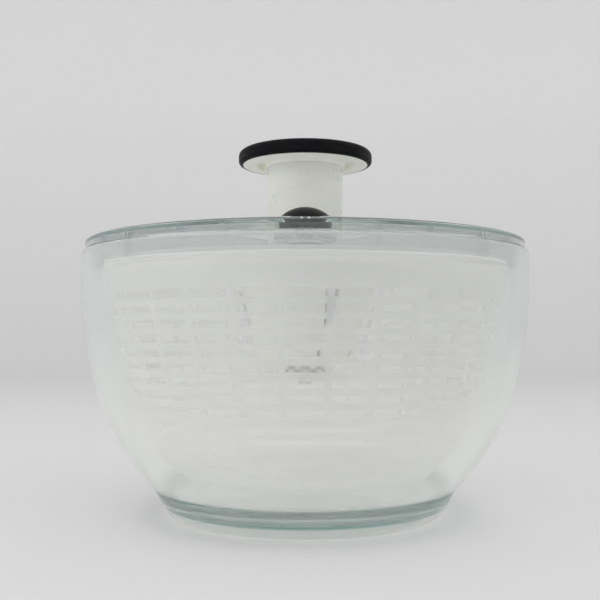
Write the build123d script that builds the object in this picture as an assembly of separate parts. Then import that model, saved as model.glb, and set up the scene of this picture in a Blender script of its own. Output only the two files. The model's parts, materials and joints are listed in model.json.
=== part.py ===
from build123d import *
import os
from math import asin, cos, degrees, radians, sin, sqrt, tan

# Salad spinner with a glass bowl and a pump knob, in millimetres.
# +Z is up along the axis of the bowl, z = 0 is the surface that it stands on, and -Y is the front.

# ---- Bowl -------------------------------------------------------------------------------------
BOWL_RADIUS = 134.0
BOWL_HEIGHT = 156.0
BOWL_WALL = 4.0
BOWL_FLOOR_TOP = 9.0
BOWL_FLOOR_UNDERSIDE = 3.0
BOWL_STRAIGHT_LOW = 135.9  # the wall is straight above this height
UPPER_ARC = 233.5
UPPER_ARC_SWEEP = 12.9
LOWER_ARC = 144.4
FOOT_TOP = 17.5
FOOT_BOTTOM_RADIUS = 83.2
FOOT_RING_INNER = 76.0
FOOT_RECESS_SLOPE = 2.0
FOOT_ROUNDING = 6.0
FOOT_TOP_ROUNDING = 4.0
FLOOR_ROUNDING = 20.0
RIM_ROUNDING = 1.7
NUB_RADIUS = 5.0
NUB_TOP = 18.6
NUB_ROUNDING = 1.5
NUB_SKIRT_RADIUS = 10.0
NUB_SKIRT_HEIGHT = 4.0

# ---- Basket -----------------------------------------------------------------------------------
BASKET_FLOOR = 20.0
BASKET_TOP = 146.9
BASKET_WALL = 2.0
BASKET_CORNER = 48.0
BASKET_FLOOR_RADIUS = 53.6
BASKET_LEAN = 14.7
BASKET_RIM_LEAN = 6.0
BASKET_CONE_LENGTH = 47.5
BASKET_UPPER_ARC = 301.0
BASKET_LIP_RADIUS = 123.0
BASKET_LIP_HEIGHT = 2.2
BASKET_LIP_ROUNDING = 0.9
BASKET_RIB_OUTER = 118.6
SLOT_COLUMNS = 30
SLOT_ROWS = 14
SLOT_PITCH = 7.5
SLOT_HEIGHT = 4.2
SLOT_LOWEST = 30.7
SLOT_ANGLE = 10.0
FLOOR_SLOT_RADII = [25.0, 33.5, 42.0, 50.5, 59.0]
FLOOR_SLOT_COLUMNS = 15
FLOOR_SLOT_ANGLE = 18.0
FLOOR_SLOT_WIDTH = 3.0
HUB_OUTER = 18.0
HUB_TOP = 24.0

# ---- Basket pivot -----------------------------------------------------------------------------
PIVOT_RADIUS = 8.0
PIVOT_CLEARANCE = 0.06
PIVOT_BORE = 5.3
PIVOT_FLANGE_RADIUS = 12.5
PIVOT_LOW = 13.0
PIVOT_TOP = 25.6
PIVOT_FOOT_RADIUS = 9.0
PIVOT_FLANGE_HEIGHT = 2.2
PIVOT_SNAP = 1.2
PIVOT_PLAY = 0.2

# ---- Lid --------------------------------------------------------------------------------------
LID_SEAT_GAP = 0.2
LID_RADIUS = 131.8
LID_EDGE_TOP = 162.4
LID_CROWN_TOP = 171.2
LID_THICKNESS = 2.3
LID_DOME_POINT = (88.0, 168.4)  # on the top face, midway out
SKIRT_OUTER = 129.3
SKIRT_WALL = 2.2
SKIRT_LOW = 147.5
SKIRT_RIBS = 8
RIB_PAIR_WIDTH = 4.6
RIB_THICKNESS = 1.2
RIB_DEPTH = 2.6
RECESS_TOP_RADIUS = 46.0
RECESS_FLOOR_RADIUS = 43.5
RECESS_FLOOR = 158.0
RECESS_FLOOR_THICKNESS = 2.2
RECESS_INSERT_RADIUS = 48.8
COLLAR_OUTER = 26.0

# ---- Knob and column --------------------------------------------------------------------------
KNOB_RADIUS = 41.0
KNOB_UNDERSIDE = 212.0
KNOB_EDGE_TOP = 220.4
KNOB_CROWN = 221.6
GRIP_THICKNESS = 2.7
CAP_TOP = 216.6
POCKET_INNER = 24.6
POCKET_OUTER = 29.8
POCKET_ANGLE = 50.0
POCKET_DEPTH = 3.4
COLUMN_RADIUS = 23.0
COLUMN_WALL = 2.5
COLUMN_CLEARANCE = 0.35
KEYWAY_WIDTH = 5.0
KEYWAY_DEPTH = 1.0
KNOB_SCREW_CIRCLE = 18.4
KNOB_SCREWS = 3
KNOB_BOSS_RADIUS = 2.6
KNOB_SCREW_RADIUS = 1.3
KNOB_SCREW_HEAD_DEPTH = 2.2
KNOB_SKIRT_DEPTH = 1.4

# ---- Nut, spindle and return spring -----------------------------------------------------------
LEAD = 68.0
STARTS = 3
SPINDLE_CORE = 13.0
SPINDLE_CREST = 15.0
SPINDLE_BORE = 10.5
SPINDLE_RIB_WIDTH = 4.4
SPINDLE_FLOOR = 97.6
SPINDLE_TOP = 160.0
STUB_RADIUS = 6.0
STUB_LOW = 80.9
WASHER_THICKNESS = 1.4
NUT_CLEARANCE = 0.4
NUT_LOW = 150.2
NUT_TOP = 158.0
NUT_FLANGE_RADIUS = 24.4
NUT_FLANGE_HEIGHT = 2.0
SPRING_RADIUS = 8.4
SPRING_WIRE = 1.5
SPRING_TURNS = 12
POST_RADIUS = 6.5
POST_LOW = 176.0

# ---- Housing ----------------------------------------------------------------------------------
HOUSING_LOW = 92.0
HOUSING_LOW_RADIUS = 28.5
HOUSING_BAND_RADIUS = 47.0
HOUSING_BAND_LOW = 147.4
HOUSING_WALL = 2.2
HOUSING_FLOOR = 2.4
HOUSING_FLANGE = 2.5
HOUSING_STEP = 0.7
DRAINS = 8
FIRST_DRAIN = -75.0
DRAIN_WIDTH = 2.6
DRAIN_LOW = 95.2
DRAIN_HEIGHT = 4.2
WINDOWS = 4
FIRST_WINDOW = -68.0
WINDOW_CORNERS = [(-2.8, 113.5), (2.8, 113.5), (4.2, 134.0), (-4.2, 134.0)]
HOUSING_SCREW_CIRCLE = 36.0
HOUSING_SCREWS = 4
BUSH_RADIUS = 9.0
BUSH_FLANGE_RADIUS = 14.0
BUSH_FLANGE_TOP = 95.2
RUNNING_CLEARANCE = 0.08

# ---- Drive plate and clutch -------------------------------------------------------------------
PLATE_LOW = 147.8
PLATE_TOP = 150.3
PLATE_RADIUS = 121.5
PLATE_BORE = 49.9
BEARING_OUTER = 49.8
LUGS = 6
LUG_WIDTH = 10.0
LUG_INNER = 113.3
LUG_OUTER = 117.0
LUG_LOW = 140.5
LUG_SIDE_GAP = 0.5
STIFFENER_RADIUS = 95.0
STIFFENER_WIDTH = 2.0
STIFFENER_DEPTH = 3.0
CUP_FLOOR = 81.5
CUP_FLOOR_THICKNESS = 2.5
CUP_LOW_RADIUS = 31.5
CUP_TOP_RADIUS = 50.2
CUP_WALL = 1.8
CUP_FLANGE_RADIUS = 58.0
CUP_DRAIN_CIRCLE = 24.0
CUP_DRAIN_RADIUS = 2.2
CUP_DRAINS = 6
CLUTCH_TEETH = 12
CLUTCH_TOOTH_ANGLE = 13.0
CLUTCH_INNER = 11.0
CLUTCH_OUTER = 17.0
CLUTCH_SPLINES = 6

# ---- Brake ------------------------------------------------------------------------------------
BRAKE_CENTRE = 63.5
BRAKE_TRAVEL = 4.0
BUTTON_RADIUS = 14.2
BUTTON_LOW = 164.2
BUTTON_SHOULDER = 171.0
BUTTON_TOP = 176.9
BUTTON_CROWN_RADIUS = 20.0
BUTTON_WALL = 1.8
POCKET_BORE = 15.2
POCKET_WALL = 1.6
POCKET_FLOOR = 160.0
POCKET_FLOOR_THICKNESS = 1.8
STEM_RADIUS = 4.9
STEM_CLEARANCE = 0.3
PAD_RADIUS = 9.5
PAD_THICKNESS = 2.2
BRAKE_SPRING_RADIUS = 7.2

# ---- Knob lock --------------------------------------------------------------------------------
LOCK_TRAVEL = 7.0
LOCK_INNER = 47.0
LOCK_OUTER = 61.5
LOCK_WIDTH = 16.0
LOCK_LOW = 171.6
LOCK_TOP = 174.4
LOCK_NECK_WIDTH = 4.4
LOCK_NECK_INNER = 57.0
LOCK_NECK_OUTER = 61.0
LOCK_SLOT_MARGIN = 0.4
LOCK_NECK_DROP = 5.6
LOCK_GROOVE_PITCH = 2.2

# ---- Derived levels ---------------------------------------------------------------------------
LID_SEAT = BOWL_HEIGHT + LID_SEAT_GAP
COLUMN_INNER = COLUMN_RADIUS - COLUMN_WALL
COLLAR_INNER = COLUMN_RADIUS + COLUMN_CLEARANCE
COLLAR_LOW = NUT_LOW + NUT_FLANGE_HEIGHT + 0.4
COLLAR_TOP = RECESS_FLOOR + 1.2
HOUSING_TOP = RECESS_FLOOR - RECESS_FLOOR_THICKNESS
BUSH_BORE = STUB_RADIUS + RUNNING_CLEARANCE
CUP_FLOOR_TOP = CUP_FLOOR + CUP_FLOOR_THICKNESS
TURN_PER_MM = 360.0 / LEAD

FROM_BELOW = (Align.CENTER, Align.CENTER, Align.MIN)


# ---- Helpers ----------------------------------------------------------------------------------
def disc(radius, low, high):
    """A cylinder on the Z axis between two heights."""
    return Pos(0, 0, low) * Cylinder(radius, high - low, align=FROM_BELOW)


def ring(inner, outer, low, high):
    """A plain ring on the Z axis between two heights."""
    return disc(outer, low, high) - disc(inner, low, high)


def block(x_low, x_high, width, low, high):
    """A block from one radius to another along X, centred across Y."""
    size = Box(x_high - x_low, width, high - low, align=(Align.MIN, Align.CENTER, Align.MIN))
    return Pos(x_low, 0, low) * size


def around(piece, count, first=0.0):
    """Copies of a piece, evenly spaced about the Z axis."""
    return [Rot(0, 0, first + 360.0 * k / count) * piece for k in range(count)]


def turned(outline, corners=()):
    """Turn a closed (radius, height) outline about Z, with the corners nearest some points rounded."""
    face = make_face(outline)
    for radius, point in corners:
        corner = face.vertices().sort_by_distance(Vector(*point))[0]
        face = fillet(corner, radius)
    return revolve(Plane.XZ * face, Axis.Z)


def turned_points(points, corners=()):
    """Turn a closed polygon of (radius, height) points about Z."""
    return turned(Polyline(*points, close=True), corners)


def sector(inner, outer, angle, low, high):
    """A piece of a ring, centred on +X."""
    wide = 2 * outer * tan(radians(angle / 2))
    wedge = make_face(Polyline((0, 0), (outer, -wide / 2), (outer, wide / 2), close=True))
    wedge = scale(wedge, 1.2)
    return ring(inner, outer, low, high) & Pos(0, 0, low) * extrude(wedge, high - low)


def outer_edges(piece):
    """The circular edges of the largest radius."""
    return piece.edges().filter_by(GeomType.CIRCLE).group_by(SortBy.RADIUS)[-1]


def coil_spring(radius, wire, low, high, turns):
    """A round-wire compression spring on the Z axis between two heights."""
    height = high - low - wire
    path = Helix(height / turns, height, radius)
    section = Plane(origin=path @ 0, z_dir=path % 0) * Circle(wire / 2)
    return Pos(0, 0, low + wire / 2) * sweep(section, path=path)


def pan_screw(head_radius, head_height, shank_radius, shank_length):
    """A pan-head screw that points down, with the underside of its head at the origin."""
    head = disc(head_radius, 0, head_height)
    head = fillet(head.edges().group_by(Axis.Z)[-1], head_height * 0.45)
    drive = extrude(Pos(0, 0, head_height) * RegularPolygon(head_radius * 0.45, 6), -head_height * 0.6)
    return head - drive + disc(shank_radius, -shank_length, 0)


# ---- Bowl -------------------------------------------------------------------------------------
def bowl_arc_centres():
    """Centres of the two tangent arcs of the bowl's wall."""
    upper = Vector(BOWL_RADIUS - UPPER_ARC, BOWL_STRAIGHT_LOW)
    along = Vector(cos(radians(UPPER_ARC_SWEEP)), -sin(radians(UPPER_ARC_SWEEP)))
    return upper, upper + along * (UPPER_ARC - LOWER_ARC)


def bowl():
    """Thick pressed-glass bowl with a narrower foot and a pivot nub inside."""
    upper, lower = bowl_arc_centres()
    inner_radius = BOWL_RADIUS - BOWL_WALL
    foot_angle = degrees(asin((lower.Y - FOOT_TOP) / LOWER_ARC))
    floor_angle = degrees(asin((lower.Y - BOWL_FLOOR_TOP) / (LOWER_ARC - BOWL_WALL)))
    outer_upper = CenterArc(upper, UPPER_ARC, 0, -UPPER_ARC_SWEEP)
    outer_lower = CenterArc(lower, LOWER_ARC, -UPPER_ARC_SWEEP, UPPER_ARC_SWEEP - foot_angle)
    inner_upper = CenterArc(upper, UPPER_ARC - BOWL_WALL, 0, -UPPER_ARC_SWEEP)
    inner_lower = CenterArc(lower, LOWER_ARC - BOWL_WALL, -UPPER_ARC_SWEEP, UPPER_ARC_SWEEP - floor_angle)
    base = Polyline(
        outer_lower @ 1,
        (FOOT_BOTTOM_RADIUS, 0),
        (FOOT_RING_INNER, 0),
        (FOOT_RING_INNER - FOOT_RECESS_SLOPE, BOWL_FLOOR_UNDERSIDE),
        (0, BOWL_FLOOR_UNDERSIDE),
        (0, BOWL_FLOOR_TOP),
        inner_lower @ 1,
    )
    rim = Polyline(
        inner_upper @ 0, (inner_radius, BOWL_HEIGHT), (BOWL_RADIUS, BOWL_HEIGHT), outer_upper @ 0
    )
    outline = [outer_upper, outer_lower, base, inner_lower, inner_upper, rim]
    corners = [
        (RIM_ROUNDING, (inner_radius, BOWL_HEIGHT)),
        (RIM_ROUNDING, (BOWL_RADIUS, BOWL_HEIGHT)),
        (FLOOR_ROUNDING, inner_lower @ 1),
        (FOOT_TOP_ROUNDING, outer_lower @ 1),
        (FOOT_ROUNDING, (FOOT_BOTTOM_RADIUS, 0)),
    ]
    nub = disc(NUB_RADIUS, BOWL_FLOOR_TOP - 1, NUB_TOP)
    nub = fillet(nub.edges().group_by(Axis.Z)[-1], NUB_ROUNDING)
    skirt = Cone(NUB_SKIRT_RADIUS, NUB_RADIUS, NUB_SKIRT_HEIGHT, align=FROM_BELOW)
    return turned(outline, corners) + nub + Pos(0, 0, BOWL_FLOOR_TOP - 1) * skirt


# ---- Basket -----------------------------------------------------------------------------------
def basket_wall_outline(inset):
    """The basket's wall from its floor to its rim, set in from the outside: corner, cone, upper arc."""
    lean = radians(BASKET_LEAN)
    outwards = Vector(cos(lean), -sin(lean))
    corner_centre = Vector(BASKET_FLOOR_RADIUS, BASKET_FLOOR + BASKET_CORNER)
    corner = CenterArc(corner_centre, BASKET_CORNER - inset, -90, 90 - BASKET_LEAN)
    cone_top = corner @ 1 + Vector(sin(lean), cos(lean)) * BASKET_CONE_LENGTH
    radius = BASKET_UPPER_ARC - inset
    centre = cone_top - outwards * radius
    upper = CenterArc(centre, radius, -BASKET_LEAN, BASKET_LEAN - BASKET_RIM_LEAN)
    return [corner, Line(corner @ 1, cone_top), upper]


def basket_radius(height):
    """The basket's outer radius at a height, near enough to place a slot."""
    corner_top = BASKET_FLOOR + BASKET_CORNER * (1 - sin(radians(BASKET_LEAN)))
    if height < corner_top:
        drop = BASKET_FLOOR + BASKET_CORNER - height
        return BASKET_FLOOR_RADIUS + sqrt(BASKET_CORNER**2 - drop**2)
    corner_radius = BASKET_FLOOR_RADIUS + BASKET_CORNER * cos(radians(BASKET_LEAN))
    return corner_radius + (height - corner_top) * tan(radians(BASKET_LEAN))


def wall_slots():
    """Rows of flat slots through the basket's wall."""
    slots = []
    for row in range(SLOT_ROWS):
        height = SLOT_LOWEST + SLOT_PITCH * row
        radius = basket_radius(height)
        width = 2 * radius * tan(radians(SLOT_ANGLE / 2))
        low = height - SLOT_HEIGHT / 2
        slot = block(radius - 14, radius + 8, width, low, low + SLOT_HEIGHT)
        slots += around(slot, SLOT_COLUMNS, 180.0 / SLOT_COLUMNS)
    return slots


def floor_slots():
    """Rings of curved slots through the basket's floor."""
    slots = []
    for radius in FLOOR_SLOT_RADII:
        slot = sector(
            radius, radius + FLOOR_SLOT_WIDTH, FLOOR_SLOT_ANGLE, BASKET_FLOOR - 1, HUB_TOP
        )
        slots += around(slot, FLOOR_SLOT_COLUMNS)
    return slots


def basket():
    """Slotted basket, with a lip at its rim, a pivot hub and pairs of ribs that the lugs push on."""
    outer = basket_wall_outline(0)
    inner = basket_wall_outline(BASKET_WALL)
    floor = Polyline(
        inner[0] @ 0, (0, BASKET_FLOOR + BASKET_WALL), (0, BASKET_FLOOR), outer[0] @ 0
    )
    shell = turned([*outer, Line(outer[2] @ 1, inner[2] @ 1), *inner, floor])
    lip = ring((inner[2] @ 1).X + 0.3, BASKET_LIP_RADIUS, BASKET_TOP - BASKET_LIP_HEIGHT, BASKET_TOP)
    lip = fillet(outer_edges(lip), BASKET_LIP_ROUNDING)
    rib_offset = LUG_WIDTH / 2 + LUG_SIDE_GAP + RIB_THICKNESS
    rib = block(LUG_INNER, BASKET_RIB_OUTER, 2 * RIB_THICKNESS, LUG_LOW - 2, BASKET_TOP - 0.5)
    ribs = [
        copy
        for side in (-rib_offset, rib_offset)
        for copy in around(Pos(0, side, 0) * rib, LUGS)
    ]
    hub = disc(HUB_OUTER, BASKET_FLOOR, HUB_TOP)
    bore = disc(PIVOT_RADIUS + PIVOT_CLEARANCE, BASKET_FLOOR - 1, HUB_TOP + 1)
    return (shell + lip + ribs + hub) - wall_slots() - floor_slots() - bore


def pivot_bush():
    """Bush that stands on the bowl's nub; the basket's hub is snapped over it and turns on it."""
    flange_top = BASKET_FLOOR - PIVOT_PLAY
    snap_low = HUB_TOP + 0.3
    body = turned_points(
        [
            (0, PIVOT_LOW),
            (PIVOT_FOOT_RADIUS, PIVOT_LOW),
            (PIVOT_FLANGE_RADIUS, flange_top - PIVOT_FLANGE_HEIGHT),
            (PIVOT_FLANGE_RADIUS, flange_top),
            (PIVOT_RADIUS, flange_top),
            (PIVOT_RADIUS, snap_low),
            (PIVOT_RADIUS + PIVOT_SNAP, snap_low),
            (PIVOT_RADIUS - 0.8, PIVOT_TOP),
            (0, PIVOT_TOP),
        ]
    )
    return body - disc(PIVOT_BORE, PIVOT_LOW - 1, NUB_TOP + PIVOT_PLAY)


# ---- Lid --------------------------------------------------------------------------------------
def lid_shell():
    """The turned body of the lid: rim band, skirt, low dome and the recess for the knob."""
    top = ThreePointArc(
        (RECESS_TOP_RADIUS, LID_CROWN_TOP), LID_DOME_POINT, (LID_RADIUS - 1.2, LID_EDGE_TOP)
    )
    underside = ThreePointArc(
        (SKIRT_OUTER - SKIRT_WALL, LID_EDGE_TOP - LID_THICKNESS),
        (LID_DOME_POINT[0], LID_DOME_POINT[1] - LID_THICKNESS),
        (RECESS_TOP_RADIUS + LID_THICKNESS, LID_CROWN_TOP - LID_THICKNESS),
    )
    edge = Polyline(
        top @ 1,
        (LID_RADIUS, LID_EDGE_TOP - 1.0),
        (LID_RADIUS, LID_SEAT),
        (SKIRT_OUTER, LID_SEAT),
        (SKIRT_OUTER, SKIRT_LOW),
        (SKIRT_OUTER - SKIRT_WALL, SKIRT_LOW),
        underside @ 0,
    )
    recess = Polyline(
        underside @ 1,
        (RECESS_FLOOR_RADIUS + RECESS_FLOOR_THICKNESS, HOUSING_TOP),
        (COLLAR_OUTER, HOUSING_TOP),
        (COLLAR_OUTER, RECESS_FLOOR),
        (RECESS_FLOOR_RADIUS, RECESS_FLOOR),
        top @ 0,
    )
    corners = [
        (1.0, (RECESS_TOP_RADIUS, LID_CROWN_TOP)),
        (0.8, (LID_RADIUS, LID_SEAT)),
        (1.0, (RECESS_FLOOR_RADIUS, RECESS_FLOOR)),
    ]
    return turned([top, edge, underside, recess], corners)


def skirt_ribs():
    """Pairs of thin upright ribs inside the skirt."""
    rib = block(
        SKIRT_OUTER - SKIRT_WALL - RIB_DEPTH, SKIRT_OUTER - 1, RIB_THICKNESS, SKIRT_LOW, LID_EDGE_TOP - 1.2
    )
    side = (RIB_PAIR_WIDTH - RIB_THICKNESS) / 2
    return [copy for y in (-side, side) for copy in around(Pos(0, y, 0) * rib, SKIRT_RIBS)]


def lock_slot():
    """The slot through the lid that the neck of the lock slides in."""
    inner = LOCK_NECK_INNER - LOCK_TRAVEL - LOCK_SLOT_MARGIN
    outer = LOCK_NECK_OUTER + LOCK_SLOT_MARGIN
    width = LOCK_NECK_WIDTH + 2 * LOCK_SLOT_MARGIN
    return Rot(0, 0, 90) * block(inner, outer, width, RECESS_FLOOR, LOCK_TOP)


def clear_lid():
    """The whole clear lid, with a pocket for the brake button and a slot for the lock."""
    pocket_low = POCKET_FLOOR - POCKET_FLOOR_THICKNESS
    pocket = Pos(0, -BRAKE_CENTRE, 0) * disc(POCKET_BORE + POCKET_WALL, pocket_low, LID_CROWN_TOP - 1.6)
    bore = Pos(0, -BRAKE_CENTRE, 0) * disc(POCKET_BORE, POCKET_FLOOR, LID_CROWN_TOP + 1)
    stem_hole = Pos(0, -BRAKE_CENTRE, 0) * disc(STEM_RADIUS + STEM_CLEARANCE, pocket_low - 1, POCKET_FLOOR)
    screw_hole = Pos(HOUSING_SCREW_CIRCLE, 0, 0) * disc(1.7, HOUSING_TOP - 1, RECESS_FLOOR + 1)
    recess = disc(RECESS_FLOOR_RADIUS, RECESS_FLOOR, LID_CROWN_TOP)
    solid = lid_shell() + skirt_ribs() + (pocket - recess)
    return solid - bore - stem_hole - lock_slot() - around(screw_hole, HOUSING_SCREWS, 45)


def lid_cover():
    """The lid's dome and skirt, round the welded-in recess."""
    return clear_lid() - disc(RECESS_INSERT_RADIUS, HOUSING_TOP - 1, LID_CROWN_TOP + 1)


def lid_recess():
    """The pan in the middle of the lid that the knob sinks into, welded in at its rim."""
    return clear_lid() & disc(RECESS_INSERT_RADIUS, HOUSING_TOP - 1, LID_CROWN_TOP + 1)


def guide_collar():
    """Collar in the lid that guides the column; two keys stop the column from turning."""
    body = ring(COLLAR_INNER, COLLAR_OUTER, COLLAR_LOW, COLLAR_TOP)
    body += ring(COLLAR_INNER, COLLAR_OUTER + 3.5, RECESS_FLOOR, COLLAR_TOP)
    key = block(COLLAR_INNER - 0.75, COLLAR_INNER + 0.5, KEYWAY_WIDTH - 0.8, COLLAR_LOW, COLLAR_TOP)
    return body + around(key, 2)


def plunger_housing():
    """Tapered cup under the lid that holds the spindle, with drain windows in its wall."""
    inner_low = HOUSING_LOW_RADIUS - HOUSING_WALL - 0.3
    floor_top = HOUSING_LOW + HOUSING_FLOOR
    flange_low = HOUSING_TOP - HOUSING_FLANGE
    cup = turned_points(
        [
            (HOUSING_BAND_RADIUS, HOUSING_TOP),
            (HOUSING_BAND_RADIUS, HOUSING_BAND_LOW),
            (HOUSING_BAND_RADIUS - HOUSING_STEP, HOUSING_BAND_LOW),
            (HOUSING_LOW_RADIUS, HOUSING_LOW),
            (BUSH_RADIUS, HOUSING_LOW),
            (BUSH_RADIUS, floor_top),
            (inner_low, floor_top),
            (HOUSING_BAND_RADIUS - HOUSING_STEP - HOUSING_WALL, HOUSING_BAND_LOW),
            (HOUSING_BAND_RADIUS - HOUSING_WALL, flange_low),
            (COLLAR_OUTER + 1, flange_low),
            (COLLAR_OUTER + 1, HOUSING_TOP),
        ],
        [(2.0, (HOUSING_LOW_RADIUS, HOUSING_LOW)), (1.5, (inner_low, floor_top))],
    )
    boss = Pos(HOUSING_SCREW_CIRCLE, 0, 0) * disc(3.6, HOUSING_TOP - 9, HOUSING_TOP - 1)
    pilot = Pos(HOUSING_SCREW_CIRCLE, 0, 0) * disc(1.4, HOUSING_TOP - 8, HOUSING_TOP + 1)
    drain = block(20, 40, DRAIN_WIDTH, DRAIN_LOW, DRAIN_LOW + DRAIN_HEIGHT)
    window = Plane.YZ * make_face(Polyline(*WINDOW_CORNERS, close=True))
    cup += around(boss, HOUSING_SCREWS, 45)
    cup -= around(pilot, HOUSING_SCREWS, 45)
    cup -= around(drain, DRAINS, FIRST_DRAIN)
    return cup - around(Pos(25, 0, 0) * extrude(window, 25), WINDOWS, FIRST_WINDOW)


def housing_screws():
    """Screws that hold the housing under the lid."""
    screw = Pos(HOUSING_SCREW_CIRCLE, 0, RECESS_FLOOR) * pan_screw(3.0, 2.0, 1.4, 8.5)
    return Compound(around(screw, HOUSING_SCREWS, 45))


def plate_bearing():
    """Slippery ring on the housing that centres the drive plate."""
    return ring(HOUSING_BAND_RADIUS, BEARING_OUTER, PLATE_LOW + 0.1, PLATE_TOP - 0.1)


def spindle_bush():
    """Flanged bush in the floor of the housing, under the spindle."""
    floor_top = HOUSING_LOW + HOUSING_FLOOR
    body = disc(BUSH_RADIUS, HOUSING_LOW, floor_top)
    body += disc(BUSH_FLANGE_RADIUS, floor_top, BUSH_FLANGE_TOP)
    return body - disc(BUSH_BORE, HOUSING_LOW - 1, BUSH_FLANGE_TOP + 1)


# ---- Knob and column --------------------------------------------------------------------------
def knob_grip():
    """Soft layer over the top and the edge of the knob."""
    side = GRIP_THICKNESS
    crown = ThreePointArc((0, KNOB_CROWN), (18.5, KNOB_CROWN - 0.25), (KNOB_RADIUS, KNOB_EDGE_TOP))
    rest = Polyline(
        crown @ 1,
        (KNOB_RADIUS, KNOB_UNDERSIDE + 0.1),
        (KNOB_RADIUS - side, KNOB_UNDERSIDE + 0.1),
        (KNOB_RADIUS - side, CAP_TOP),
        (0, CAP_TOP),
        crown @ 0,
    )
    corners = [
        (3.6, (KNOB_RADIUS, KNOB_EDGE_TOP)),
        (2.2, (KNOB_RADIUS, KNOB_UNDERSIDE)),
        (1.5, (KNOB_RADIUS - side, CAP_TOP)),
    ]
    return turned([crown, rest], corners)


def knob_cap():
    """Stiff disc under the grip, with two curved pockets below and a post for the return spring."""
    radius = KNOB_RADIUS - GRIP_THICKNESS
    body = disc(radius, KNOB_UNDERSIDE, CAP_TOP)
    body = fillet(body.edges().group_by(Axis.Z)[-1], 1.5)
    skirt = turned_points(
        [
            (COLUMN_RADIUS, KNOB_UNDERSIDE - KNOB_SKIRT_DEPTH),
            (COLUMN_RADIUS + 1.0, KNOB_UNDERSIDE - KNOB_SKIRT_DEPTH),
            (COLUMN_RADIUS + KNOB_SKIRT_DEPTH, KNOB_UNDERSIDE),
            (COLUMN_RADIUS, KNOB_UNDERSIDE),
        ]
    )
    post = disc(POST_RADIUS, POST_LOW, KNOB_UNDERSIDE)
    post = fillet(post.edges().group_by(Axis.Z)[0], 2.0)
    pocket = sector(
        POCKET_INNER, POCKET_OUTER, POCKET_ANGLE, KNOB_UNDERSIDE - 1, KNOB_UNDERSIDE + POCKET_DEPTH
    )
    seat = Pos(KNOB_SCREW_CIRCLE, 0, CAP_TOP - KNOB_SCREW_HEAD_DEPTH)
    screw_hole = seat * (disc(KNOB_BOSS_RADIUS, 0, 3) + disc(KNOB_SCREW_RADIUS, -4, 0))
    body = body + skirt + post - around(pocket, 2)
    return body - around(screw_hole, KNOB_SCREWS, 90)


def plunger_tube():
    """Column of the knob: a tube with two keyways and bosses for the knob's screws."""
    nut_seat = NUT_LOW + NUT_FLANGE_HEIGHT
    tube = ring(COLUMN_INNER, COLUMN_RADIUS, nut_seat, KNOB_UNDERSIDE)
    boss = disc(KNOB_BOSS_RADIUS, KNOB_UNDERSIDE - 14, KNOB_UNDERSIDE)
    boss -= disc(KNOB_SCREW_RADIUS, KNOB_UNDERSIDE - 11, KNOB_UNDERSIDE)
    boss = Pos(KNOB_SCREW_CIRCLE, 0, 0) * boss
    keyway_top = KNOB_UNDERSIDE - KNOB_SKIRT_DEPTH
    keyway = block(COLUMN_RADIUS - KEYWAY_DEPTH, COLUMN_RADIUS + 1, KEYWAY_WIDTH, nut_seat, keyway_top)
    return tube + around(boss, KNOB_SCREWS, 90) - around(keyway, 2)


def knob_screws():
    """Screws that hold the column to the knob cap, hidden under the grip."""
    seat = Pos(KNOB_SCREW_CIRCLE, 0, CAP_TOP - KNOB_SCREW_HEAD_DEPTH)
    screw = seat * pan_screw(2.4, 1.8, KNOB_SCREW_RADIUS, 13.0)
    return Compound(around(screw, KNOB_SCREWS, 90))


# ---- Nut, spindle and return spring -----------------------------------------------------------
def screw_section(core, crest, rib_width):
    """Cross-section of the multi-start screw: a round core with a few wide ribs."""
    section = Circle(core)
    for start in range(STARTS):
        rib = Pos(crest / 2, 0) * Rectangle(crest, rib_width)
        section += Rot(0, 0, 360.0 * start / STARTS) * rib
    return section & Circle(crest)


def screw_body(core, crest, rib_width, low, high):
    """The screw between two heights; its ribs climb at the lead and keep one phase."""
    start_angle = (low - SPINDLE_FLOOR) * TURN_PER_MM
    section = Pos(0, 0, low) * Rot(0, 0, start_angle) * screw_section(core, crest, rib_width).face()
    rise = high - low
    return Solid.extrude_linear_with_rotation(section, (0, 0, low), (0, 0, rise), rise * TURN_PER_MM)


def drive_nut():
    """Flanged nut in the foot of the column; its grooves run on the ribs of the spindle."""
    body = disc(COLUMN_INNER, NUT_LOW, NUT_TOP)
    body += disc(NUT_FLANGE_RADIUS, NUT_LOW, NUT_LOW + NUT_FLANGE_HEIGHT)
    gap = NUT_CLEARANCE
    grooves = screw_body(
        SPINDLE_CORE + gap, SPINDLE_CREST + gap, SPINDLE_RIB_WIDTH + 2 * gap, NUT_LOW - 1, NUT_TOP + 1
    )
    return body - grooves


def helical_spindle():
    """Hollow multi-start screw on a thrust disc, with a stub below for the clutch."""
    screw = screw_body(SPINDLE_CORE, SPINDLE_CREST, SPINDLE_RIB_WIDTH, SPINDLE_FLOOR, SPINDLE_TOP)
    thrust = disc(SPINDLE_CREST + 0.5, BUSH_FLANGE_TOP + 0.2, SPINDLE_FLOOR)
    stub = disc(STUB_RADIUS, STUB_LOW, BUSH_FLANGE_TOP + 1)
    thread = disc(2.0, STUB_LOW - 1, STUB_LOW + 9)
    screw = Part() + screw - disc(SPINDLE_BORE, SPINDLE_FLOOR, SPINDLE_TOP + 1)
    return screw + thrust + stub - thread


def return_spring():
    """Spring inside the spindle and the column that lifts the knob."""
    return coil_spring(SPRING_RADIUS, SPRING_WIRE, SPINDLE_FLOOR + 0.1, KNOB_UNDERSIDE - 0.1, SPRING_TURNS)


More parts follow.
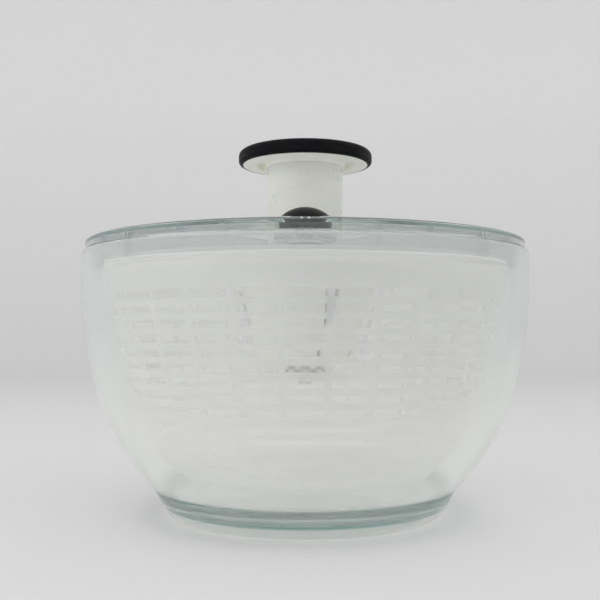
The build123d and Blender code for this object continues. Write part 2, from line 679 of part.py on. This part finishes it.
def clutch_hub():
    """Splined sleeve on the spindle's stub that turns the clutch dog."""
    flange_low = CUP_FLOOR_TOP + 0.3
    hub = disc(8.0, flange_low, HOUSING_LOW - 0.4) + disc(10.3, flange_low, flange_low + 0.9)
    spline = block(6, 9.0, 2.4, flange_low, HOUSING_LOW - 0.4)
    return hub + around(spline, CLUTCH_SPLINES) - disc(STUB_RADIUS, STUB_LOW, HOUSING_LOW)


def clutch_dog():
    """Toothed ring that slides down the splines into the clutch ring when the spindle is driven."""
    low = CUP_FLOOR_TOP + 3.4
    body_low = low + 1.8
    body = disc(CLUTCH_OUTER, body_low, body_low + 2.2)
    tooth = sector(CLUTCH_INNER, CLUTCH_OUTER, CLUTCH_TOOTH_ANGLE, low, body_low)
    bore = disc(8.4, body_low - 1, body_low + 3)
    groove = block(6, 9.4, 3.2, body_low - 1, body_low + 3)
    teeth = around(tooth, CLUTCH_TEETH, 180.0 / CLUTCH_TEETH)
    return body + teeth - bore - around(groove, CLUTCH_SPLINES)


def clutch_spring():
    """Light spring that holds the clutch dog out of mesh."""
    return coil_spring(9.9, 0.5, CUP_FLOOR_TOP + 1.25, CUP_FLOOR_TOP + 5.15, 2)


def clutch_ring():
    """Toothed ring on the floor of the drive cup."""
    low = CUP_FLOOR_TOP
    tooth = sector(CLUTCH_INNER, CLUTCH_OUTER, CLUTCH_TOOTH_ANGLE, low + 1.2, low + 3.0)
    return ring(CLUTCH_INNER, CLUTCH_OUTER + 1.5, low, low + 1.2) + around(tooth, CLUTCH_TEETH)


def thrust_washer():
    """Washer under the drive cup."""
    washer = ring(2.2, 10.0, STUB_LOW - WASHER_THICKNESS, STUB_LOW)
    return fillet(washer.edges().group_by(Axis.Z)[0], 0.4)


def spindle_screw():
    """Screw from below that holds the washer to the spindle."""
    return Pos(0, 0, STUB_LOW - WASHER_THICKNESS) * Rot(180, 0, 0) * pan_screw(4.5, 2.8, 2.0, 9.0)


# ---- Drive plate ------------------------------------------------------------------------------
def drive_plate():
    """Clear disc under the lid; its lugs reach down between pairs of ribs in the basket's rim."""
    plate = ring(PLATE_BORE, PLATE_RADIUS, PLATE_LOW, PLATE_TOP)
    plate = fillet(outer_edges(plate), 0.6)
    half = STIFFENER_WIDTH / 2
    rib_low = PLATE_LOW - STIFFENER_DEPTH
    stiffener = ring(STIFFENER_RADIUS - half, STIFFENER_RADIUS + half, rib_low, PLATE_LOW)
    lug = block(LUG_INNER, LUG_OUTER, LUG_WIDTH, LUG_LOW, PLATE_LOW)
    lug = fillet(lug.edges().group_by(Axis.Z)[0], 1.0)
    web = block(STIFFENER_RADIUS, LUG_INNER + 1, STIFFENER_WIDTH, rib_low, PLATE_LOW + 1)
    return plate + stiffener + around(lug, LUGS) + around(web, LUGS)


def drive_cup():
    """Clear tapered cup below the drive plate, around the housing, that turns with the plate."""
    flange_low = PLATE_LOW - 2
    cup = turned_points(
        [
            (CUP_FLANGE_RADIUS, PLATE_LOW),
            (CUP_FLANGE_RADIUS, flange_low),
            (CUP_TOP_RADIUS, flange_low),
            (CUP_LOW_RADIUS, CUP_FLOOR),
            (BUSH_BORE, CUP_FLOOR),
            (BUSH_BORE, CUP_FLOOR_TOP),
            (CUP_LOW_RADIUS - CUP_WALL, CUP_FLOOR_TOP),
            (CUP_TOP_RADIUS - CUP_WALL, flange_low),
            (CUP_TOP_RADIUS - CUP_WALL, PLATE_LOW),
        ],
        [(3.0, (CUP_LOW_RADIUS, CUP_FLOOR)), (1.5, (CUP_TOP_RADIUS, flange_low))],
    )
    drain = Pos(CUP_DRAIN_CIRCLE, 0, 0) * disc(CUP_DRAIN_RADIUS, CUP_FLOOR - 1, CUP_FLOOR_TOP + 1)
    return cup - around(drain, CUP_DRAINS)


# ---- Brake ------------------------------------------------------------------------------------
def brake_button():
    """Hollow domed button in front of the column."""
    crown_edge = sqrt(BUTTON_CROWN_RADIUS**2 - (BUTTON_CROWN_RADIUS - BUTTON_TOP + BUTTON_SHOULDER) ** 2)
    dome = turned(
        [
            RadiusArc((0, BUTTON_TOP), (crown_edge, BUTTON_SHOULDER), BUTTON_CROWN_RADIUS),
            Polyline(
                (crown_edge, BUTTON_SHOULDER),
                (BUTTON_RADIUS, BUTTON_SHOULDER - 1.2),
                (BUTTON_RADIUS, BUTTON_LOW),
                (0, BUTTON_LOW),
                (0, BUTTON_TOP),
            ),
        ],
        [(2.0, (BUTTON_RADIUS, BUTTON_SHOULDER - 1.2))],
    )
    hollow = disc(BUTTON_RADIUS - BUTTON_WALL, BUTTON_LOW, BUTTON_SHOULDER - 0.6)
    return Pos(0, -BRAKE_CENTRE, 0) * (dome - hollow)


def brake_stem():
    """Stem from the button through the pocket floor to the pad."""
    flange_top = POCKET_FLOOR - POCKET_FLOOR_THICKNESS - 0.2
    stem = disc(STEM_RADIUS, flange_top, BUTTON_SHOULDER - 0.6)
    stem += disc(PAD_RADIUS, flange_top - 1.3, flange_top)
    return Pos(0, -BRAKE_CENTRE, 0) * stem


def brake_pad():
    """Soft pad that the button presses onto the drive plate."""
    low = PLATE_TOP + BRAKE_TRAVEL + 0.1
    pad = disc(PAD_RADIUS, low, low + PAD_THICKNESS)
    pad = fillet(pad.edges().group_by(Axis.Z)[0], 0.6)
    return Pos(0, -BRAKE_CENTRE, 0) * pad


def brake_spring():
    """Spring under the button, around its stem."""
    spring = coil_spring(BRAKE_SPRING_RADIUS, 0.9, POCKET_FLOOR + 0.1, BUTTON_SHOULDER - 0.7, 4)
    return Pos(0, -BRAKE_CENTRE, 0) * spring


# ---- Knob lock --------------------------------------------------------------------------------
def lock_slider():
    """Slide behind the column that moves over the edge of the lowered knob for storage."""
    plate = block(LOCK_INNER, LOCK_OUTER, LOCK_WIDTH, LOCK_LOW, LOCK_TOP)
    plate = fillet(plate.edges().filter_by(Axis.Z), 2.5)
    plate = fillet(plate.edges().group_by(Axis.Z)[-1], 0.7)
    groove = block(0, 1.0, LOCK_WIDTH, LOCK_TOP - 0.6, LOCK_TOP + 1)
    neck = block(LOCK_NECK_INNER, LOCK_NECK_OUTER, LOCK_NECK_WIDTH, LOCK_LOW - LOCK_NECK_DROP, LOCK_LOW)
    grooves = [Pos(LOCK_NECK_INNER - 3 + LOCK_GROOVE_PITCH * k, 0, 0) * groove for k in range(3)]
    return Rot(0, 0, 90) * (plate + neck - grooves)


def lock_clip():
    """Clip on the neck of the lock, under the lid."""
    low = LOCK_LOW - LOCK_NECK_DROP
    clip = block(LOCK_NECK_INNER - 1, LOCK_NECK_OUTER + 1, LOCK_NECK_WIDTH + 6, low - 1.6, low)
    return Rot(0, 0, 90) * fillet(clip.edges().filter_by(Axis.Z), 1.0)


# ---- Sub-parts, one file each -----------------------------------------------------------------
SUB_PARTS = [
    bowl, basket, pivot_bush,
    lid_cover, lid_recess, guide_collar, plunger_housing, housing_screws, plate_bearing, spindle_bush,
    knob_grip, knob_cap, plunger_tube, knob_screws, drive_nut, return_spring,
    helical_spindle, clutch_hub, thrust_washer, spindle_screw,
    clutch_dog, clutch_spring, clutch_ring, drive_plate, drive_cup,
    brake_button, brake_stem, brake_pad, brake_spring,
    lock_slider, lock_clip,
]

os.makedirs("parts", exist_ok=True)
for make in SUB_PARTS:
    export_step(make(), f"parts/{make.__name__}.step")
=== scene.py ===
import bpy
import bmesh
import json
from math import cos, pi, radians, sin
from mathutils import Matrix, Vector


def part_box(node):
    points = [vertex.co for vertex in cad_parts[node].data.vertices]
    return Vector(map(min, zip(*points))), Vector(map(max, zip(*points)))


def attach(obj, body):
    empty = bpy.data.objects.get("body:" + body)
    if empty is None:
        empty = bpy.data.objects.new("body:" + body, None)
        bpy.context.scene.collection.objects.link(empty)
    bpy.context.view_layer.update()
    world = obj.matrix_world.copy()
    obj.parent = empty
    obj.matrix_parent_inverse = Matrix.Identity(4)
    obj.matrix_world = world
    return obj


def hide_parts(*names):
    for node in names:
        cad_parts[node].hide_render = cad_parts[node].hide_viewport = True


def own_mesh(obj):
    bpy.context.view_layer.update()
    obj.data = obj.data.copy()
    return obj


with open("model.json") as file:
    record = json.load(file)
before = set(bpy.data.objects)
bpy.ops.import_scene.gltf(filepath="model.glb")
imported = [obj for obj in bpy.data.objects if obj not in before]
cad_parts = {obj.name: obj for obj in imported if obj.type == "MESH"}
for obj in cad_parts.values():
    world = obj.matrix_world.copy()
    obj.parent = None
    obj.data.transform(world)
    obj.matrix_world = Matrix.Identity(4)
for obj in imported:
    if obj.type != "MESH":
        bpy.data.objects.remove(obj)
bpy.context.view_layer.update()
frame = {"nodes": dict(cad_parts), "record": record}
NODES = frame["nodes"]
SLOT_OF = {part["node"]: part["material_slot"] for part in frame["record"]["subparts"]}
# Nodes whose finish isn't their slot's usual one; the knob cap's is painted light, a brighter copy of the
# off-white.
FINISH_OF = {"drive_plate": "plate_frosted", "knob_cap": "cap_painted_light"}
MM = 0.001

# ---- Camera -----------------------------------------------------------------------------------
CAMERA_DISTANCE = 0.520  # from the object's axis
CAMERA_HEIGHT = 0.1075
CAMERA_LENS = 50.4
CAMERA_SHIFT = (-0.0088, 0.0583)

# ---- Studio -----------------------------------------------------------------------------------
FLOOR_RADIUS = 1.7
SWEEP_RADIUS = 0.9
WALL_HEIGHT = 2.6
FLOOR_COLOUR = (0.78, 0.78, 0.78)
WALL_COLOUR = (0.88, 0.88, 0.88)
WORLD_COLOUR = (0.63, 0.63, 0.63)
BACKDROP_SIDES = 96
SWEEP_STEPS = 24

# ---- Glass ------------------------------------------------------------------------------------
# Heights and radii are in metres, in the frame of the model.
FOOT_RADIUS = 0.082  # the foot's painted shade starts outside this radius
THIN_GLASS = (0.925, 0.925, 0.92)
LOW_WALL_GLASS = (0.975, 0.968, 0.955)
# Painted shade: the thick foot's darker grey band, its dark teal line and the darker edge below them are
# set into the base colour by height. The low wall's base colour is lighter than the upper wall's.
FOOT_PAINTED_SHADE = (0.46, 0.49, 0.47)
FOOT_PAINTED_TEAL_SHADE = (0.66, 0.71, 0.695)
FOOT_EDGE_PAINTED_SHADE = (0.85, 0.83, 0.815)
GLASS_TINTS_AND_FOOT_SHADE = (  # (height, colour) from the foot up
    (0.0, FOOT_EDGE_PAINTED_SHADE), (0.0060, FOOT_EDGE_PAINTED_SHADE), (0.0075, FOOT_PAINTED_TEAL_SHADE), (0.0095, FOOT_PAINTED_TEAL_SHADE),
    (0.0110, FOOT_PAINTED_SHADE), (0.0168, FOOT_PAINTED_SHADE), (0.0180, LOW_WALL_GLASS), (0.0500, LOW_WALL_GLASS),
    (0.1200, THIN_GLASS),
)
GLASS_CLEARNESS = (  # (height, share of the light that passes)
    (0.0, 0.30), (0.0060, 0.40), (0.0075, 0.98), (0.0170, 0.96), (0.0190, 0.72), (0.05, 0.72), (0.10, 0.76),
)
GLASS_DEPTH_COLOUR = (0.40, 0.70, 0.66)  # what a long way through the glass leaves
GLASS_DENSITY = 9.0

# ---- Clear plastic ----------------------------------------------------------------------------
PLASTIC_DEPTH_COLOUR = (0.60, 0.715, 0.70)
# Painted shade: the lid's skirt and band get darker base colours than the dome, as the thick rim looks
# darker.
LID_SKIRT_PAINTED_SHADE = (0.67, 0.705, 0.695)
LID_BAND_PAINTED_SHADE = (0.74, 0.775, 0.765)
LID_DOME = (0.96, 0.97, 0.965)
LID_SHADE_STOPS = (  # (height, colour) from the skirt up, the lower two are painted shade
    (0.1475, LID_SKIRT_PAINTED_SHADE), (0.1555, LID_SKIRT_PAINTED_SHADE), (0.1570, LID_BAND_PAINTED_SHADE), (0.1590, LID_BAND_PAINTED_SHADE),
    (0.1610, LID_DOME), (0.1712, LID_DOME),
)

# ---- Springs ----------------------------------------------------------------------------------
STEPS_PER_TURN = 40
WIRE_SIDES = 12  # corners round the wire


class Shader:
    """A node material that is built up by short calls."""

    def __init__(self, name):
        self.material = bpy.data.materials.new(name)
        self.material.use_nodes = True
        self.tree = self.material.node_tree
        self.tree.nodes.clear()
        self.output = self.add("ShaderNodeOutputMaterial")
        self.principled = self.add("ShaderNodeBsdfPrincipled")
        self.link(self.principled, "BSDF", self.output, "Surface")
        self.coordinates = self.add("ShaderNodeTexCoord")

    def add(self, kind, **inputs):
        node = self.tree.nodes.new(kind)
        self.set(node, **inputs)
        return node

    def set(self, node, **inputs):
        for name, value in inputs.items():
            node.inputs[name.replace("_", " ")].default_value = value

    def link(self, source, output, target, name):
        self.tree.links.new(source.outputs[output], target.inputs[name])

    def noise(self, scale, detail=3.0, roughness=0.5, stretch=None):
        """Noise over the object's own coordinates, in metres; stretch scales it along each axis."""
        texture = self.add("ShaderNodeTexNoise", Scale=scale, Detail=detail, Roughness=roughness)
        if stretch is None:
            self.link(self.coordinates, "Object", texture, "Vector")
            return texture
        mapping = self.add("ShaderNodeMapping", Scale=stretch)
        self.link(self.coordinates, "Object", mapping, "Vector")
        self.link(mapping, "Vector", texture, "Vector")
        return texture

    def spread(self, texture, low, high, name, inside=(0.3, 0.7)):
        """Sends a texture's value, spread from low to high, to a socket of the shader."""
        ranges = self.add("ShaderNodeMapRange")
        self.set(ranges, From_Min=inside[0], From_Max=inside[1], To_Min=low, To_Max=high)
        self.link(texture, "Fac", ranges, "Value")
        self.link(ranges, "Result", self.principled, name)

    def paint_foot_shade(self, plain, stops, radius):
        """Base colour that follows (height, colour) stops outside a radius and is plain inside it; it
        paints the glass foot's shade.
        """
        place = self.add("ShaderNodeSeparateXYZ")
        self.link(self.coordinates, "Object", place, "Vector")
        flat = self.add("ShaderNodeCombineXYZ")
        self.link(place, "X", flat, "X")
        self.link(place, "Y", flat, "Y")
        length = self.add("ShaderNodeVectorMath")
        length.operation = "LENGTH"
        self.link(flat, "Vector", length, "Vector")
        outside = self.add("ShaderNodeMapRange", From_Min=radius - 0.002, From_Max=radius)
        self.link(length, "Value", outside, "Value")
        ramp = self.height_ramp(stops)
        mix = self.add("ShaderNodeMix")
        mix.data_type = "RGBA"
        self.tree.links.new(outside.outputs["Result"], mix.inputs[0])
        mix.inputs[6].default_value = (*plain, 1)
        self.tree.links.new(ramp.outputs["Color"], mix.inputs[7])
        self.tree.links.new(mix.outputs[2], self.principled.inputs["Base Color"])

    def height_ramp(self, stops):
        """A ramp over (height in metres, colour) stops."""
        low, high = stops[0][0], stops[-1][0]
        height = self.add("ShaderNodeSeparateXYZ")
        self.link(self.coordinates, "Object", height, "Vector")
        ranges = self.add("ShaderNodeMapRange", From_Min=low, From_Max=high)
        self.link(height, "Z", ranges, "Value")
        ramp = self.add("ShaderNodeValToRGB")
        elements = ramp.color_ramp.elements
        elements[0].color = (*stops[0][1], 1)
        elements[1].color = (*stops[-1][1], 1)
        for place, value in stops[1:-1]:
            elements.new((place - low) / (high - low)).color = (*value, 1)
        self.link(ranges, "Result", ramp, "Fac")
        return ramp

    def by_height(self, stops, name):
        """Sends a value that follows (height in metres, value) stops to a socket."""
        ramp = self.height_ramp([(place, (value,) * 3) for place, value in stops])
        self.link(ramp, "Color", self.principled, name)

    def two_colours(self, texture, first, second, inside=(0.35, 0.65)):
        """Base colour that wanders between two colours."""
        ramp = self.add("ShaderNodeValToRGB")
        ramp.color_ramp.elements[0].position = inside[0]
        ramp.color_ramp.elements[1].position = inside[1]
        ramp.color_ramp.elements[0].color = (*first, 1)
        ramp.color_ramp.elements[1].color = (*second, 1)
        self.link(texture, "Fac", ramp, "Fac")
        self.link(ramp, "Color", self.principled, "Base Color")

    def bump(self, *layers):
        """Bump from several (texture, height in metres, strength) layers."""
        previous = None
        for texture, height, strength in layers:
            node = self.add("ShaderNodeBump", Strength=strength, Distance=height)
            self.link(texture, "Fac", node, "Height")
            if previous is not None:
                self.link(previous, "Normal", node, "Normal")
            previous = node
        self.link(previous, "Normal", self.principled, "Normal")

    def pass_lamps(self):
        """Lets light from lamps go straight through to what is behind the surface."""
        mix = self.add("ShaderNodeMixShader")
        path = self.add("ShaderNodeLightPath")
        clear = self.add("ShaderNodeBsdfTransparent", Color=(1, 1, 1, 1))
        self.tree.links.new(path.outputs["Is Shadow Ray"], mix.inputs[0])
        self.tree.links.new(self.principled.outputs["BSDF"], mix.inputs[1])
        self.tree.links.new(clear.outputs["BSDF"], mix.inputs[2])
        self.link(mix, "Shader", self.output, "Surface")

    def absorb(self, colour, density):
        """Tint that grows with the depth of the material."""
        volume = self.add("ShaderNodeVolumeAbsorption", Density=density)
        volume.inputs["Color"].default_value = (*colour, 1)
        self.link(volume, "Volume", self.output, "Volume")


def glass():
    """Thick pressed glass, slightly green in depth, with faint waves from the mould."""
    s = Shader("pressed_glass")
    s.set(s.principled, IOR=1.5)
    # Painted shade: the foot's darker bands and teal line go into the base colour.
    s.paint_foot_shade(THIN_GLASS, GLASS_TINTS_AND_FOOT_SHADE, FOOT_RADIUS)
    s.by_height(GLASS_CLEARNESS, "Transmission Weight")
    s.spread(s.noise(45, 4), 0.01, 0.03, "Roughness")
    s.bump((s.noise(16, 1.5), 0.0004, 0.08))
    s.absorb(GLASS_DEPTH_COLOUR, GLASS_DENSITY)
    s.pass_lamps()
    return s.material


def clear_plastic(name, tints_or_shade, roughness, clearness, density, scuffs):
    """Clear moulded plastic with fine scuffs: two colours wander, and more are (height, colour) stops that
    paint shade by height.
    """
    s = Shader(name)
    s.set(s.principled, Transmission_Weight=clearness, IOR=1.5)
    # Height stops paint shade into the base colour.
    if len(tints_or_shade) > 2:
        s.link(s.height_ramp(tints_or_shade), "Color", s.principled, "Base Color")
    else:
        s.two_colours(s.noise(70, 5), *tints_or_shade)
    s.spread(s.noise(110, 6, 0.6), roughness * 0.92, roughness * 1.08, "Roughness")
    s.bump((s.noise(24, 2), 0.0003, 0.03), (s.noise(300, 3), 0.00002, scuffs))
    s.absorb(PLASTIC_DEPTH_COLOUR, density)
    s.pass_lamps()
    return s.material


def moulded_plastic(name, first, second, roughness, grain=0.2):
    """Opaque moulded plastic with slow colour drift, a fine skin and faint flow lines."""
    s = Shader(name)
    s.set(s.principled, IOR=1.46, Subsurface_Weight=0.06, Subsurface_Scale=0.004)
    s.two_colours(s.noise(38, 4), first, second)
    s.spread(s.noise(160, 5, 0.6), roughness * 0.8, roughness * 1.25, "Roughness")
    flow = s.noise(60, 3, 0.5, stretch=(1, 1, 0.12))
    s.bump((flow, 0.00008, 0.3), (s.noise(2600, 2), 0.00003, grain))
    return s.material


def soft_rubber(name, first, second, roughness):
    """Soft black layer: matt, finely pebbled, a little dusty."""
    s = Shader(name)
    s.set(s.principled, IOR=1.5, Specular_IOR_Level=0.12)
    s.two_colours(s.noise(240, 6, 0.65), first, second, inside=(0.4, 0.8))
    s.spread(s.noise(90, 4), roughness * 0.85, roughness * 1.15, "Roughness")
    s.bump((s.noise(1900, 2), 0.00008, 0.5), (s.noise(50, 2), 0.0001, 0.2))
    return s.material


def metal(name, colour, roughness):
    """Drawn or turned stainless steel."""
    s = Shader(name)
    s.set(s.principled, Metallic=1.0)
    s.two_colours(s.noise(300, 4), colour, tuple(min(1.0, c * 1.12) for c in colour))
    s.spread(s.noise(800, 4), roughness * 0.7, roughness * 1.4, "Roughness")
    s.bump((s.noise(1500, 2, 0.5, stretch=(1, 1, 6)), 0.00002, 0.4))
    return s.material


def clear_plastics():
    """The clear mouldings: basket, lid, and the drive's cup and disc."""
    basket = ((0.90, 0.892, 0.878), (0.93, 0.922, 0.908))
    plate = ((0.985, 0.98, 0.97), (0.998, 0.99, 0.982))
    frosted = ((0.94, 0.935, 0.92), (0.96, 0.955, 0.94))
    return {
        "basket_plastic": clear_plastic("basket_plastic", basket, 0.10, 0.68, 3.0, 0.03),
        "lid_plastic": clear_plastic("lid_plastic", LID_SHADE_STOPS, 0.02, 0.98, 10.0, 0.01),
        "plate_plastic": clear_plastic("plate_plastic", plate, 0.03, 0.97, 3.0, 0.01),
        "plate_frosted": clear_plastic("plate_frosted", frosted, 0.25, 0.50, 3.0, 0.03),
    }


def opaque_plastics():
    """The off-white mouldings."""
    cream = ((0.90, 0.90, 0.81), (0.94, 0.94, 0.86))
    # Painted light: the knob cap gets near-white, brighter than the other off-white parts, so its shaded
    # underside looks lit.
    cap = ((0.98, 0.98, 0.92), (1.0, 1.0, 0.95))
    column = ((0.80, 0.81, 0.76), (0.85, 0.86, 0.81))
    spindle = ((0.30, 0.30, 0.28), (0.34, 0.34, 0.31))
    acetal = ((0.74, 0.74, 0.69), (0.79, 0.79, 0.75))
    return {
        "cream_plastic": moulded_plastic("cream_plastic", *cream, 0.42),
        "cap_painted_light": moulded_plastic("cap_painted_light", *cap, 0.42),
        "column_plastic": moulded_plastic("column_plastic", *column, 0.30, 0.1),
        "spindle_plastic": moulded_plastic("spindle_plastic", *spindle, 0.3),
        "acetal": moulded_plastic("acetal", *acetal, 0.35),
    }


def dark_layers():
    """The soft black layers of the knob, the brake pad and the brake button."""
    rubber = ((0.003, 0.0035, 0.004), (0.007, 0.0075, 0.008))
    button = ((0.006, 0.006, 0.006), (0.011, 0.011, 0.010))
    return {
        "black_rubber": soft_rubber("black_rubber", *rubber, 0.55),
        "black_plastic": soft_rubber("black_plastic", *button, 0.35),
    }


def metals():
    """Screws and spring wire."""
    return {
        "steel": metal("steel", (0.62, 0.62, 0.61), 0.28),
        "spring_steel": metal("spring_steel", (0.80, 0.81, 0.82), 0.35),
    }


def make_materials():
    """One material for each slot of the record, and one for each special finish."""
    return {"glass": glass(), **clear_plastics(), **opaque_plastics(), **dark_layers(), **metals()}


def dress(nodes, materials):
    """Gives every CAD node the material of its slot, or its special finish."""
    for name, node in nodes.items():
        node.data.materials.clear()
        node.data.materials.append(materials[FINISH_OF.get(name, SLOT_OF[name])])


def stage_material():
    """Matt paper, from the floor's colour to the wall's in the first metre."""
    s = Shader("paper_backdrop")
    s.set(s.principled, Roughness=0.9, Specular_IOR_Level=0.1)
    height = s.add("ShaderNodeSeparateXYZ")
    s.link(s.coordinates, "Object", height, "Vector")
    ramp = s.add("ShaderNodeValToRGB")
    ramp.color_ramp.elements[0].color = (*FLOOR_COLOUR, 1)
    ramp.color_ramp.elements[1].color = (*WALL_COLOUR, 1)
    s.link(height, "Z", ramp, "Fac")
    s.link(ramp, "Color", s.principled, "Base Color")
    return s.material


def backdrop():
    """A round pale floor that sweeps up into a wall on every side."""
    profile = [(0.0, 0.0), (FLOOR_RADIUS, 0.0)]
    for k in range(1, SWEEP_STEPS + 1):
        a = pi / 2 * k / SWEEP_STEPS
        profile.append((FLOOR_RADIUS + SWEEP_RADIUS * sin(a), SWEEP_RADIUS * (1 - cos(a))))
    profile.append((FLOOR_RADIUS + SWEEP_RADIUS, WALL_HEIGHT))
    mesh = bpy.data.meshes.new("backdrop")
    build = bmesh.new()
    angles = [2 * pi * j / BACKDROP_SIDES for j in range(BACKDROP_SIDES)]
    centre = build.verts.new((0, 0, 0))
    rings = []
    for radius, height in profile[1:]:
        rings.append([build.verts.new((radius * cos(a), radius * sin(a), height)) for a in angles])
    for j in range(BACKDROP_SIDES):
        after = (j + 1) % BACKDROP_SIDES
        build.faces.new((centre, rings[0][j], rings[0][after]))
        for low, high in zip(rings, rings[1:]):
            build.faces.new((low[j], high[j], high[after], low[after]))
    for face in build.faces:
        face.smooth = True
    build.to_mesh(mesh)
    build.free()
    piece = bpy.data.objects.new("backdrop", mesh)
    bpy.context.scene.collection.objects.link(piece)
    piece.data.materials.append(stage_material())
    piece.visible_shadow = False  # the world's light reaches undersides too, as in a light tent


def area_light(name, place, target, size, power):
    """A soft white lamp that faces its target."""
    data = bpy.data.lights.new(name, "AREA")
    data.shape = "RECTANGLE"
    data.size, data.size_y = size
    data.energy = power
    lamp = bpy.data.objects.new(name, data)
    lamp.location = place
    lamp.rotation_mode = "QUATERNION"
    lamp.rotation_quaternion = (Vector(target) - Vector(place)).to_track_quat("-Z", "Y")
    lamp.visible_camera = False
    lamp.visible_glossy = False
    bpy.context.scene.collection.objects.link(lamp)


def studio():
    """Soft light from all round, a little more from above and from the left."""
    world = bpy.data.worlds.new("studio")
    world.use_nodes = True
    world.node_tree.nodes["Background"].inputs["Color"].default_value = (*WORLD_COLOUR, 1)
    bpy.context.scene.world = world
    area_light("overhead", (0, -0.3, 1.9), (0, 0, 0), (2.2, 2.2), 6.6)
    area_light("left", (-1.5, -0.9, 1.0), (0, 0, 0.15), (1.8, 1.1), 9.0)
    area_light("right", (1.6, -0.5, 1.0), (0, 0, 0.15), (1.6, 1.1), 5.0)
    area_light("under", (0, 0, -0.9), (0, 0, 0), (2.4, 2.4), 7.5)
    backdrop()
    scene = bpy.context.scene
    scene.view_settings.view_transform = "Standard"
    scene.cycles.max_bounces = 40
    scene.cycles.diffuse_bounces = 10
    scene.cycles.glossy_bounces = 24
    scene.cycles.transmission_bounces = 32
    scene.cycles.transparent_max_bounces = 32


def camera():
    """Level camera in front of the object."""
    data = bpy.data.cameras.new("camera")
    data.lens = CAMERA_LENS
    data.shift_x, data.shift_y = CAMERA_SHIFT
    data.clip_start = 0.01
    place = bpy.data.objects.new("camera", data)
    place.location = (0, -CAMERA_DISTANCE, CAMERA_HEIGHT)
    place.rotation_euler = (radians(90), 0, 0)
    bpy.context.scene.collection.objects.link(place)
    bpy.context.scene.camera = place


def mesh_piece(name, verts, faces, material, body):
    """A smooth mesh piece that rides on a body."""
    mesh = bpy.data.meshes.new(name)
    mesh.from_pydata(verts, [], faces)
    mesh.polygons.foreach_set("use_smooth", [True] * len(mesh.polygons))
    mesh.materials.append(material)
    piece = bpy.data.objects.new(name, mesh)
    bpy.context.scene.collection.objects.link(piece)
    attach(piece, body)
    return piece


def coil_height(turn, turns, wire, pitch):
    """Height of the wire's centre after some turns: the first and the last turn lie closed."""
    if turn < 1:
        return wire * turn
    if turn > turns - 1:
        return wire + pitch * (turns - 2) + wire * (turn - turns + 1)
    return wire + pitch * (turn - 1)


def coil(name, node, wire, turns, material, body):
    """A spring with closed ends in the space of its CAD node."""
    low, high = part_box(node)
    centre = (low + high) / 2
    radius = (high.x - low.x - wire) / 2
    pitch = (high.z - low.z - wire - 2 * wire) / (turns - 2)
    count = STEPS_PER_TURN * turns
    verts = []
    for k in range(count + 1):
        turn = turns * k / count
        angle = 2 * pi * turn
        out = Vector((cos(angle), sin(angle), 0))
        heart = Vector((centre.x, centre.y, low.z + wire / 2 + coil_height(turn, turns, wire, pitch)))
        heart += out * radius
        for j in range(WIRE_SIDES):
            a = 2 * pi * j / WIRE_SIDES
            verts.append(heart + (out * cos(a) + Vector((0, 0, sin(a)))) * wire / 2)
    faces = []
    for k in range(count):
        below, above = k * WIRE_SIDES, (k + 1) * WIRE_SIDES
        for j in range(WIRE_SIDES):
            after = (j + 1) % WIRE_SIDES
            faces.append((below + j, below + after, above + after, above + j))
    faces.append(tuple(range(WIRE_SIDES))[::-1])
    faces.append(tuple(count * WIRE_SIDES + j for j in range(WIRE_SIDES)))
    piece = mesh_piece(name, verts, faces, material, body)
    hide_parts(node)
    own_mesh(piece)


def springs(materials):
    """The three springs, as wound wire."""
    steel = materials["spring_steel"]
    coil("knob_spring", "return_spring", 1.5 * MM, 13, steel, "spindle")
    coil("button_spring", "brake_spring", 0.9 * MM, 5, steel, "lid")
    coil("dog_spring", "clutch_spring", 0.5 * MM, 4, steel, "spindle")


camera()
studio()
MATERIALS = make_materials()
dress(NODES, MATERIALS)
springs(MATERIALS)
